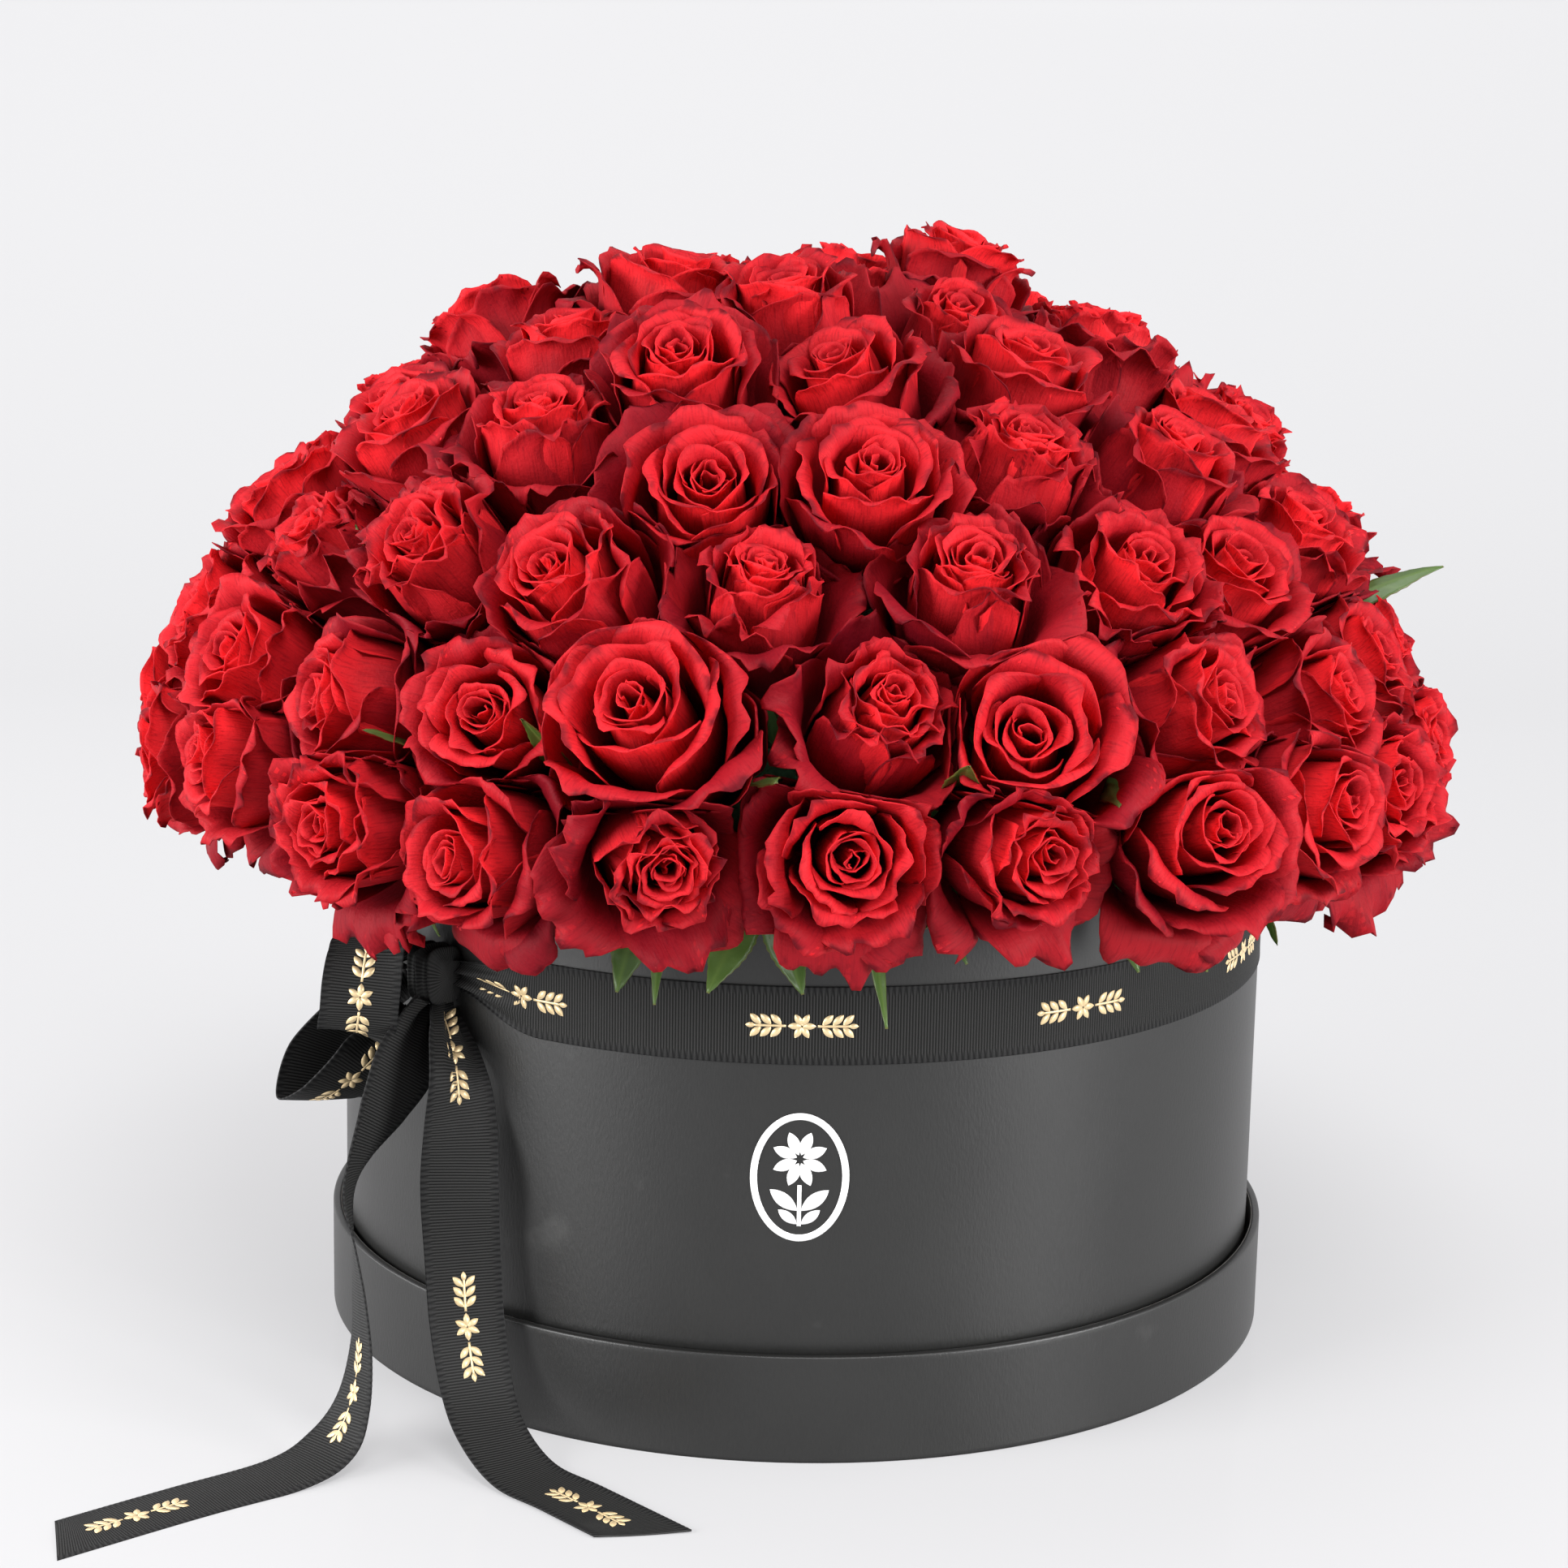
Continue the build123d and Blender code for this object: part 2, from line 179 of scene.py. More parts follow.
class Nodes:
    """Short names for building one material's nodes. In an input's name "_" means a space."""

    def __init__(self, name):
        self.material = bpy.data.materials.new(name)
        self.material.use_nodes = True
        self.tree = self.material.node_tree
        self.shader = self.tree.nodes["Principled BSDF"]

    def feed(self, target, value):
        """Links an output to the target socket, or sets a plain value on it."""
        if isinstance(value, bpy.types.NodeSocket):
            self.tree.links.new(value, target)
        else:
            target.default_value = value

    def new(self, kind, **inputs):
        """New node of a kind, with its named inputs fed."""
        node = self.tree.nodes.new("ShaderNode" + kind)
        for name, value in inputs.items():
            self.feed(node.inputs[name.replace("_", " ")], value)
        return node

    def set(self, **inputs):
        """Feeds the shader's own named inputs."""
        for name, value in inputs.items():
            self.feed(self.shader.inputs[name.replace("_", " ")], value)

    def mix(self, share, first, second):
        """Colour between first (share 0) and second (share 1)."""
        node = self.new("Mix")
        node.data_type = "RGBA"
        self.feed(node.inputs[0], share)
        self.feed(node.inputs[6], first)
        self.feed(node.inputs[7], second)
        return node.outputs[2]

    def over(self, colour, mask, strength, top):
        """Colour with a top colour over it, as strong as the mask times the strength."""
        return self.mix(self.maths("MULTIPLY", mask, strength), colour, top)

    def maths(self, operation, first, second):
        node = self.new("Math")
        node.operation = operation
        self.feed(node.inputs[0], first)
        self.feed(node.inputs[1], second)
        return node.outputs[0]

    def ramp(self, value, low, high):
        """0 at low, 1 at high, smooth between."""
        node = self.new("MapRange", Value=value, From_Min=low, From_Max=high)
        node.interpolation_type = "SMOOTHSTEP"
        return node.outputs["Result"]

    def noise(self, scale, detail, stretch=(1, 1, 1), source="Object"):
        """Cloudy noise in the piece's own or its UV coordinates."""
        place = self.new("TexCoord").outputs[source]
        place = self.new("Mapping", Vector=place, Scale=stretch).outputs[0]
        return self.new("TexNoise", Vector=place, Scale=scale, Detail=detail).outputs[0]

    def bump(self, height, strength, distance):
        node = self.new("Bump", Height=height, Strength=strength, Distance=distance)
        self.set(Normal=node.outputs[0])

    def tint(self):
        """Red, green, blue and alpha of the mesh's own tint attribute."""
        node = self.new("Attribute")
        node.attribute_name = "tint"
        parts = self.new("SeparateColor", Color=node.outputs["Color"])
        return [*parts.outputs, node.outputs["Alpha"]]


def rgb(red, green, blue):
    return (red, green, blue, 1.0)


def petal_material():
    """Velvety red petal. tint: rim share, layer in the head, back side, petal's own number."""
    m = Nodes("rose_petal")
    rim, layer, back, own = m.tint()
    # Painted shade: each petal is dark at its base, deep in the head, and bright towards its rim.
    colour = m.mix(m.ramp(rim, 0.30, 0.95), rgb(0.14, 0.001, 0.004), rgb(1.00, 0.024, 0.032))
    # Outer petals darker: partly their own dusky colour, partly painted shade between the heads.
    colour = m.over(colour, m.ramp(layer, 0.45, 0.98), 0.86, rgb(0.135, 0.0025, 0.008))
    colour = m.over(colour, back, 0.62, rgb(0.135, 0.003, 0.009))
    colour = m.over(colour, own, 0.20, rgb(1.00, 0.036, 0.044))
    streaks = m.noise(90.0, 3.0, (6.0, 0.6, 1.0), "UV")
    colour = m.over(colour, m.ramp(streaks, 0.46, 0.72), 0.38, rgb(0.11, 0.002, 0.007))
    blotches = m.noise(55.0, 4.0)
    colour = m.over(colour, m.ramp(blotches, 0.48, 0.70), 0.30, rgb(0.11, 0.002, 0.009))
    colour = m.over(colour, m.ramp(rim, 0.95, 1.0), 0.35, rgb(0.30, 0.008, 0.012))
    worn = m.maths("MULTIPLY", m.ramp(rim, 0.90, 0.99), m.ramp(m.noise(110.0, 2.0), 0.50, 0.62))
    worn = m.maths("MULTIPLY", worn, m.ramp(layer, 0.10, 0.60))
    colour = m.over(colour, worn, 0.75, rgb(0.060, 0.002, 0.006))
    m.set(Base_Color=colour, Roughness=0.58, Specular_IOR_Level=0.09)
    m.bump(m.maths("ADD", streaks, m.noise(900.0, 2.0)), 0.30, 0.0006)
    return m.material


def plant_material(name, dark, light, roughness):
    """Waxy green. tint: rim share, vein share, back side, leaf's own number."""
    m = Nodes(name)
    rim, vein, back, own = m.tint()
    cloud = m.maths("MULTIPLY", m.noise(60.0, 4.0), 0.5)
    colour = m.mix(m.maths("ADD", cloud, m.maths("MULTIPLY", own, 0.5)), dark, light)
    colour = m.over(colour, vein, 0.40, rgb(0.17, 0.25, 0.06))
    colour = m.over(colour, back, 0.45, rgb(0.085, 0.14, 0.04))
    colour = m.over(colour, m.ramp(rim, 0.90, 1.0), 0.4, rgb(0.16, 0.07, 0.02))
    m.set(Base_Color=colour, Roughness=roughness, Specular_IOR_Level=0.30)
    m.bump(m.noise(500.0, 3.0), 0.2, 0.0005)
    return m.material


def paper_material():
    """Matt charcoal covering paper with a fine fibre grain and faint rubbed patches."""
    m = Nodes("charcoal_paper")
    grain = m.noise(1400.0, 4.0, (1, 1, 0.35))
    cloud = m.noise(14.0, 5.0)
    colour = m.mix(m.ramp(cloud, 0.35, 0.70), rgb(0.006, 0.006, 0.0057), rgb(0.010, 0.010, 0.0095))
    colour = m.over(colour, grain, 0.30, rgb(0.026, 0.026, 0.0246))
    scuff = m.ramp(m.noise(38.0, 8.0), 0.66, 0.76)
    colour = m.over(colour, scuff, 0.22, rgb(0.09, 0.09, 0.087))
    roughness = m.maths("ADD", m.maths("MULTIPLY", cloud, 0.08), 0.37)
    m.set(Base_Color=colour, Roughness=roughness, Specular_IOR_Level=0.55)
    m.bump(grain, 0.20, 0.0004)
    return m.material


def ribbon_material():
    """Black grosgrain. tint: selvage share, height share of the ribs and edge beads."""
    m = Nodes("black_ribbon")
    selvage, ridge = m.tint()[:2]
    threads = m.noise(2600.0, 2.0)
    # Painted shade and highlight: grooves near black, tops of the ribs and beads lighter.
    colour = m.mix(ridge, rgb(0.0004, 0.0004, 0.0004), rgb(0.048, 0.048, 0.0468))
    colour = m.over(colour, selvage, 0.55, rgb(0.016, 0.016, 0.0165))
    colour = m.over(colour, threads, 0.15, rgb(0.014, 0.014, 0.0145))
    m.set(Base_Color=colour, Roughness=0.48, Specular_IOR_Level=0.07)
    m.bump(threads, 0.35, 0.0003)
    return m.material


def print_material(name, colour_a, colour_b, roughness, metallic):
    """Foil or ink, with a slight mottle."""
    m = Nodes(name)
    colour = m.mix(m.noise(400.0, 3.0), colour_a, colour_b)
    m.set(Base_Color=colour, Roughness=roughness, Metallic=metallic)
    m.bump(m.noise(1800.0, 2.0), 0.15, 0.0003)
    return m.material


def plain_material(name, colour_a, colour_b, scale, roughness, bump):
    """Two colours mottled together, with a bump from the same noise."""
    m = Nodes(name)
    mottle = m.noise(scale, 5.0)
    m.set(Base_Color=m.mix(mottle, colour_a, colour_b), Roughness=roughness)
    m.bump(mottle, 0.5, bump)
    return m.material


petal = petal_material()
leaf_green = plant_material("leaf_green", rgb(0.012, 0.042, 0.010), rgb(0.085, 0.16, 0.020), 0.36)
sepal_green = plant_material("sepal_green", rgb(0.04, 0.09, 0.018), rgb(0.11, 0.19, 0.035), 0.45)
paper = paper_material()
ribbon = ribbon_material()
gold = print_material("gold_print", rgb(0.80, 0.58, 0.30), rgb(0.92, 0.74, 0.45), 0.42, 0.35)
white = print_material("white_print", rgb(0.93, 0.93, 0.92), rgb(0.99, 0.99, 0.98), 0.5, 0.0)
board = plain_material("grey_board", rgb(0.24, 0.23, 0.21), rgb(0.36, 0.35, 0.32), 300.0, 0.8,
                       0.0004)
foam = plain_material("wet_foam", rgb(0.02, 0.09, 0.035), rgb(0.05, 0.17, 0.07), 420.0, 0.7, 0.0015)
film = plain_material("liner_film", rgb(0.42, 0.44, 0.45), rgb(0.55, 0.57, 0.58), 60.0, 0.25, 0.001)
stem = plain_material("stem_green", rgb(0.05, 0.12, 0.03), rgb(0.12, 0.22, 0.06), 200.0, 0.5,
                      0.0004)

node_materials = {"lid_sheet": paper, "box_base_sheet": paper, "lid_panel": board, "lid_rim": board,
                  "box_floor": board, "box_wall": board, "liner_cup": film}
for name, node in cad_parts.items():
    chosen = node_materials.get(name)
    if name.startswith("foam"):
        chosen = foam
    elif name.startswith("rose_stems"):
        chosen = stem
    if chosen:
        node.data.materials.clear()
        node.data.materials.append(chosen)

# ---- where each rose goes


def ring_axes(ring):
    """Every rose of one ring: the head's centre and the direction it faces."""
    dome_radius, dome_level = box_radius + dome_overhang, box_rim - dome_sink
    middle = np.radians(lowest_latitude + latitude_step * ring)
    count = max(1, round(TAU * dome_radius * np.cos(middle) / rose_pitch))
    axes = []
    for index in range(count):
        if ring == ring_total - 1:
            latitude, azimuth = 90.0, 0.0
        else:
            sway = np.sin(2.9 * index + 1.7 * ring)
            latitude = lowest_latitude + latitude_step * ring + latitude_wobble * sway
            azimuth = ring_first_azimuth[ring] + 360 * index / count
            azimuth += azimuth_wobble * np.sin(4.3 * index + 2.1 * ring)
        across, up = np.cos(np.radians(latitude)), np.sin(np.radians(latitude))
        skin = outward(azimuth) * dome_radius * across
        skin[2] = dome_level + dome_rise * up
        facing = outward(azimuth) * across / dome_radius
        facing[2] = up / dome_rise
        facing = unit(facing)
        axes.append((skin - facing * head_depth, facing))
    return axes


rings = [ring_axes(ring) for ring in range(ring_total)]
all_centres = np.array([centre for ring in rings for centre, facing in ring])

# ---- one rose

petal_rows, petal_columns = 14, 21
petal_thickness = 0.32
rim_curl_start = 0.70

# First layer, last layer and number of petals in each group, from the middle outwards
petal_groups = ((0.02, 0.25, 7), (0.33, 0.57, 6), (0.66, 0.84, 6), (0.92, 1.00, 6))


def bezier(points, share):
    """Cubic curve through four (radius, height) points."""
    rest = 1 - share
    weights = (rest ** 3, 3 * rest ** 2 * share, 3 * rest * share ** 2, share ** 3)
    return sum(weight[..., None] * point for weight, point in zip(weights, points))


def wave(rng, phase, low, high):
    """Sine of a phase grid at a random frequency between low and high."""
    return np.sin(phase * rng.uniform(low, high) + rng.uniform(0, TAU))


def petal_sheet(rng, layer, openness, wilt, turn, hang):
    """One petal of a head of radius 1, as a grid of points, and its rim share.

    layer is 0 for the innermost petal and 1 for the outermost. openness is 0 for a bud and
    1 for a full flower, wilt is 0 for smooth rims, turn is the petal's angle round the head
    and hang is how far its rim sinks.
    """
    height = np.linspace(0, 1, petal_rows)[:, None] ** 0.85 * np.ones((1, petal_columns))
    side = np.linspace(-1, 1, petal_columns)[None, :] * np.ones((petal_rows, 1))
    guard = smooth(layer, 0.80, 0.95)

    # The rim is rounded, a little pointed in the middle and ruffled
    shoulder = 0.18 + 0.16 * layer
    tip = 0.075 * layer * rng.uniform(0.1, 1.9)
    rim = 1 - shoulder * np.abs(side) ** 2.4 + tip * np.exp(-np.abs(side / 0.17) ** 1.3)
    rim += rng.normal(0, 0.06) * side + 0.030 * wave(rng, side, 4, 8)
    rim += (0.014 + 0.034 * wilt) * layer * wave(rng, side, 9, 15)
    rim += 0.030 * wilt * layer * wave(rng, side, 17, 25)
    share = height * rim

    # Half outline from the receptacle to where the rim starts to curl
    rim_radius = 0.055 + (0.53 + 0.38 * openness) * layer ** 1.05
    rim_radius = max(rim_radius, (0.80 + 0.20 * openness) * guard) + rng.normal(0, 0.018)
    rim_height = 0.82 - 0.06 * layer - (0.55 + 0.45 * openness) * max(0.0, layer - 0.45) ** 1.4
    rim_height += rng.normal(0, 0.028) - 0.14 * guard - hang
    foot = np.array([0.05 + 0.05 * layer, -0.40 - 0.42 * layer])
    belly = np.array([0.20 + 0.60 * layer, -0.34 - 0.38 * layer])
    chest = np.array([0.12 + (0.58 + 0.18 * openness) * layer ** 0.9, 0.32 - 0.16 * layer])
    lip = np.array([rim_radius, rim_height])
    body = np.clip(share / rim_curl_start, 0, 1)
    outline = bezier((foot, belly, chest, lip), body)

    # The curl goes on from there along a bending line, more at the sides than in the middle
    heading = lip - chest
    start_angle = np.arctan2(heading[0], heading[1])
    curl = np.radians(14 + (62 + 62 * openness) * layer ** 0.75) * rng.uniform(0.7, 1.25)
    curl = curl * (1 + layer * (0.55 * np.abs(side) ** 1.5 - 0.25))
    curl = curl + 0.50 * layer ** 0.5 * wave(rng, side, 3, 6)
    curl = curl + (0.20 + 0.60 * wilt) * layer * wave(rng, side, 7, 13)
    past = np.clip((share - rim_curl_start) / (1 - rim_curl_start), 0, 1.25)
    reach = 0.17 + 0.23 * layer + 0.08 * guard
    steps = np.linspace(0, 1, 9)
    angles = start_angle + curl[..., None] * (past[..., None] * steps) ** 1.3
    run = past * reach
    outline[..., 0] += run * np.sin(angles).mean(-1)
    outline[..., 1] += run * np.cos(angles).mean(-1)

    # Across its width the petal wraps round the head, less so further out
    radius = np.maximum(outline[..., 0], 0.03)
    half_width = (0.50 + 0.30 * layer) * (0.30 + 0.70 * smooth(share, -0.1, 0.60))
    bend_radius = radius * (1 + 0.80 * layer * smooth(share, 0.3, 1.0)) + 0.02
    angle = np.minimum(half_width / bend_radius, 2.5 - 1.25 * layer) * side
    sideways = bend_radius * np.sin(angle)
    inwards = bend_radius * (1 - np.cos(angle))
    spiral = 0.085 * (1 - layer) * side
    roll = (0.04 + 0.17 * layer) * np.abs(side) ** 3.2 * smooth(share, 0.25, 0.95)
    crease = 0.016 * wave(rng, side + 0.8 * share, 5, 9) + 0.010 * wave(rng, side - share, 10, 16)
    crease = crease + 0.030 * wilt * layer * wave(rng, side, 11, 18) * smooth(share, 0.6, 1.0)
    out = outline[..., 0] - inwards + spiral + roll + crease * smooth(share, 0.3, 0.9)
    up = outline[..., 1] - 0.30 * layer * roll + rng.normal(0, 0.045) * layer * sideways

    cosine, sine = np.cos(turn), np.sin(turn)
    points = np.stack([out * cosine - sideways * sine, out * sine + sideways * cosine, up], -1)
    edge = np.maximum(height, np.abs(side) ** 6 * smooth(height, 0.25, 0.8))
    return points, edge


petal_front, petal_back, petal_strip = shell_quads(petal_rows, petal_columns)
petal_size = petal_rows * petal_columns


def petal_bake_uv(total):
    """Bake layout: every petal's front and back in a cell of its own."""
    cells = int(np.ceil(np.sqrt(2 * total)))
    row, column = np.divmod(np.arange(petal_size), petal_columns)
    local = np.stack([column / (petal_columns - 1), row / (petal_rows - 1)], -1) * 0.90 + 0.05
    outer = 0.5 + (local - 0.5) * 1.07
    quads = []
    for number in range(total):
        for half, faces in ((0, petal_front), (1, petal_back)):
            cell = 2 * number + half
            corner = np.array([cell % cells, cell // cells])
            quads.append((local[faces % petal_size] + corner) / cells)
        corner = np.array([(2 * number) % cells, (2 * number) // cells])
        strip = np.where((petal_strip < petal_size)[..., None], local[petal_strip % petal_size],
                         outer[petal_strip % petal_size])
        quads.append((strip + corner) / cells)
    return np.concatenate(quads)


def petal_faces(total):
    """Quads of a whole head of petals, in the order of petal_bake_uv."""
    one = np.concatenate([petal_front, petal_back, petal_strip])
    return np.concatenate([one + 2 * petal_size * number for number in range(total)])


def head_basis(rng, facing, tilt):
    """Rotation from a head's own axes to the frame's, tipped at random."""
    forward = unit(facing + rng.normal(0, tilt, 3))
    guide = np.array([0.0, 0.0, 1.0]) if abs(forward[2]) < 0.95 else np.array([0.0, 1.0, 0.0])
    right = unit(np.cross(guide, forward))
    up = np.cross(forward, right)
    return np.stack([right, up, forward], -1)


press_softness = 4.0
neighbour_reach = 95.0
wall_clearance = 3.0
golden_angle = 2.399


def keep_apart(points, centre, give):
    """Presses points back behind the planes half way to the neighbouring heads."""
    offsets = all_centres - centre
    distance = np.linalg.norm(offsets, axis=1)
    near = (distance > 1) & (distance < neighbour_reach)
    for offset, gap in zip(offsets[near], distance[near]):
        direction = offset / gap
        beyond = (points - centre) @ direction - (gap / 2 + give)
        pressed = -press_softness * np.exp(-np.maximum(beyond + press_softness, 0) / press_softness)
        move = np.where(beyond > -press_softness, pressed - beyond, 0)
        points = points + move[..., None] * direction
    return points


def clear_of_box(points):
    """Moves points below the rim out past the box's wall and its ribbon."""
    low = 1 - smooth(points[..., 2], box_rim + 1, box_rim + 8)
    radius = np.linalg.norm(points[..., :2], axis=-1)
    push = np.maximum(0, wrap_radius + wall_clearance - radius) * low
    return points + push[..., None] * unit(points * np.array([1, 1, 0]))


# For each ring: how far its heads sit inside their place, and how much they look up
head_inset = (10.5, 12.0, 12.5, 12.5, 13.0, 14.0, 19.0)
upward_tilt = (0.0, 0.06, 0.24, 0.26, 0.22, 0.12, 0.0)
right_side_inset = 10.0
lowest_ring_lift = 9.0

# Heads by (ring, number): wide open ones, ones that stand out, and one left hanging in ring 0
large_heads = ((1, 21), (1, 1))
raised_heads = {(5, 2): 10.0, (5, 5): 4.0}
drooping_head = 22
outer_petal_hang = 0.132


def make_rose(ring, index, centre, facing):
    """One rose head: a spiral of petals from the tight middle to the reflexed outside."""
    rng = np.random.default_rng(1000 * ring + index)
    openness = rng.choice([0.10, 0.35, 0.65, 1.0]) + rng.normal(0, 0.08)
    openness = float(np.clip(openness, 0.02, 1.1))
    wilt = rng.choice([0.15, 0.40, 0.75, 1.1])
    head_radius = rng.uniform(28.0, 33.5)
    inset = head_inset[ring] + rng.normal(0, 1.0 + 0.4 * ring) - raised_heads.get((ring, index), 0)
    inset += right_side_inset * max(0.0, facing[0]) ** 2
    if (ring, index) in large_heads:
        head_radius, openness, wilt = 37.0, 1.05, 0.1
    facing = unit(facing + np.array([0, 0, upward_tilt[ring]]))
    layers = np.concatenate([np.linspace(low, high, count) for low, high, count in petal_groups])
    layers = np.clip(layers + rng.normal(0, 0.008, len(layers)), 0, 1)
    basis = head_basis(rng, facing, 0.16)
    spin = rng.uniform(0, TAU)
    shift = np.array([*rng.normal(0, 0.05, 2), 0.0])
    sheets, tints = [], []
    for number, layer in enumerate(layers):
        turn = spin + golden_angle * number + rng.normal(0, 0.14)
        direction = basis @ np.array([np.cos(turn), np.sin(turn), 0.0])
        hang = outer_petal_hang * layer ** 4 * max(0.0, -direction[2])
        grid, edge = petal_sheet(rng, layer, openness, wilt, turn, hang)
        grid = grid + shift * (1 - layer)
        points = centre - facing * inset + head_radius * grid @ basis.T
        points[..., 2] += lowest_ring_lift if ring == 0 and index != drooping_head else 0
        points = keep_apart(points, centre, rng.uniform(-0.5, 3.5))
        points = clear_of_box(points)
        normals = grid_normals(points)
        sheets += [points, points - normals * petal_thickness]
        own = rng.uniform(0, 1)
        for back in (0.0, 1.0):
            tints.append(tint_rows(edge, layer, back, own))
    points = np.concatenate([sheet.reshape(-1, 3) for sheet in sheets])
    name = f"rose_{ring + 1}_{index + 1:02d}"
    rose = make_mesh(name, points, petal_faces(len(layers)), petal, np.concatenate(tints),
                     petal_bake_uv(len(layers)))
    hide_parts(f"rose_heads_ring_{ring + 1}")


for ring, axes in enumerate(rings):
    for index, (centre, facing) in enumerate(axes):
        make_rose(ring, index, centre, facing)

# ---- sepals and leaves

leaf_rows, leaf_columns = 23, 9
leaf_thickness = 0.45
sepal_thickness = 0.5
sepal_half_width = 3.4
sepal_foot_depth = 25.0
sepal_foot_radius = 4.0


def leaf_sheet(length, half_width, teeth, fold, bow, twist):
    """Leaf along +X with its face up: grid of points, rim share and vein share."""
    along = np.linspace(0, 1, leaf_rows)[:, None] * np.ones((1, leaf_columns))
    side = np.linspace(-1, 1, leaf_columns)[None, :] * np.ones((leaf_rows, 1))
    width = np.sin(np.pi * along ** 0.80) ** 0.85 * (1 - 0.35 * along)
    saw = 1 - 0.13 * ((along * teeth) % 1) * np.abs(side) ** 4 if teeth else 1.0
    across = side * width * half_width * saw
    x = along * length
    z = -fold * np.abs(across) - bow * length * along ** 2
    z = z + 0.03 * half_width * np.sin(along * 22 + 2.5 * np.abs(side)) * np.abs(side)
    angle = twist * along
    y = across * np.cos(angle) - z * 0.15 * np.sin(angle)
    z = z + across * np.sin(angle)
    vein = np.exp(-(side / 0.10) ** 2) + 0.5 * (np.cos(along * 38 - 7 * np.abs(side)) > 0.93)
    edge = np.maximum(np.abs(side), smooth(along, 0.85, 1.0))
    return np.stack([x, y, z], -1), edge, np.clip(vein, 0, 1)


def leafy_piece(name, leaves, thickness, material):
    """One piece made of several leaves, each (points, edge, vein, own number)."""
    one = np.concatenate(shell_quads(leaf_rows, leaf_columns))
    points, tints, quads = [], [], []
    for number, (grid, edge, vein, own) in enumerate(leaves):
        normals = grid_normals(grid)
        points += [grid.reshape(-1, 3), (grid - normals * thickness).reshape(-1, 3)]
        for under in (0.0, 1.0):
            tints.append(tint_rows(edge, vein, under, own))
        quads.append(one + 2 * leaf_rows * leaf_columns * number)
    return make_mesh(name, np.concatenate(points), np.concatenate(quads), material,
                     np.concatenate(tints))


def placed(grid, foot, along, face):
    """Grid moved so that its X runs along a direction and its Z faces another."""
    along = unit(along)
    sideways = unit(np.cross(face, along))
    basis = np.stack([along, sideways, np.cross(along, sideways)], -1)
    return foot + grid @ basis.T


def make_sepals(ring, axes):
    """Five narrow sepals bent back under every head of a ring."""
    rng = np.random.default_rng(50 + ring)
    leaves = []
    for centre, facing in axes:
        basis = head_basis(rng, facing, 0.02)
        foot = centre - facing * sepal_foot_depth
        for number in range(5):
            turn = TAU * number / 5 + rng.normal(0, 0.15)
            out = basis @ np.array([np.cos(turn), np.sin(turn), 0.0])
            grid, edge, vein = leaf_sheet(rng.uniform(17, 25), sepal_half_width, 0, 0.2,
                                          rng.uniform(0.1, 0.45), rng.normal(0, 0.6))
            along = out + facing * rng.uniform(-0.5, 0.6)
            grid = placed(grid, foot + out * sepal_foot_radius, along, facing)
            leaves.append((clear_of_box(grid), edge, vein, rng.uniform()))
    piece = leafy_piece(f"sepals_ring_{ring + 1}", leaves, sepal_thickness, sepal_green)
    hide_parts(f"rose_calyxes_ring_{ring + 1}")


for ring, axes in enumerate(rings):
    make_sepals(ring, axes)


# Azimuth, length, half width and sideways lean of the leaves in front
front_leaves = [
    (-17, 31, 8.0, -0.15), (-15, 34, 3.0, 0.10), (-5.5, 31, 8.0, -0.40), (-3.5, 30, 7.5, 0.40),
    (2, 22, 3.0, -0.5), (6.5, 39, 2.6, 0.10), (13, 22, 3.0, 0.5), (34, 29, 6.5, 0.2),
    (45, 33, 7.0, -0.1), (50, 26, 3.0, 0.3),
]


def make_hanging_leaves():
    """Leaves that hang between the lowest heads and the box's wall."""
    rng = np.random.default_rng(7)
    leaves = []
    places = [(azimuth, rng.uniform(26, 38), rng.uniform(5, 9), rng.normal(0, 0.35))
              for azimuth in np.arange(60, 310, 11)]
    for azimuth, length, half_width, sideways in front_leaves + places:
        away = outward(azimuth)
        foot = away * (box_radius + leaf_standoff)
        foot[2] = box_rim + leaf_foot_above_rim
        lean = np.radians(leaf_lean + rng.uniform(-14, 0))
        down = away * np.sin(lean) - np.array([0, 0, np.cos(lean)])
        down = down + np.cross([0, 0, 1], away) * sideways
        teeth = 11 if half_width > 4 else 0
        grid, edge, vein = leaf_sheet(length, half_width, teeth, 0.35, -0.10, rng.normal(0, 0.5))
        leaves.append((clear_of_box(placed(grid, foot, down, away)), edge, vein, rng.uniform()))
    piece = leafy_piece("hanging_leaves", leaves, leaf_thickness, leaf_green)
    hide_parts("leaves_under_dome")


# Ring and number of the head that has a leaf between it, the next one and the ring below
front_gaps = [(1, 19), (1, 20), (1, 21), (1, 0), (1, 1), (2, 16)]
gap_leaf_drop = 14.0
gap_leaf_depth = 6.0
side_leaf_azimuth = 88
side_leaf_radius = 174
side_leaf_shift = np.array([0, -20, 250])


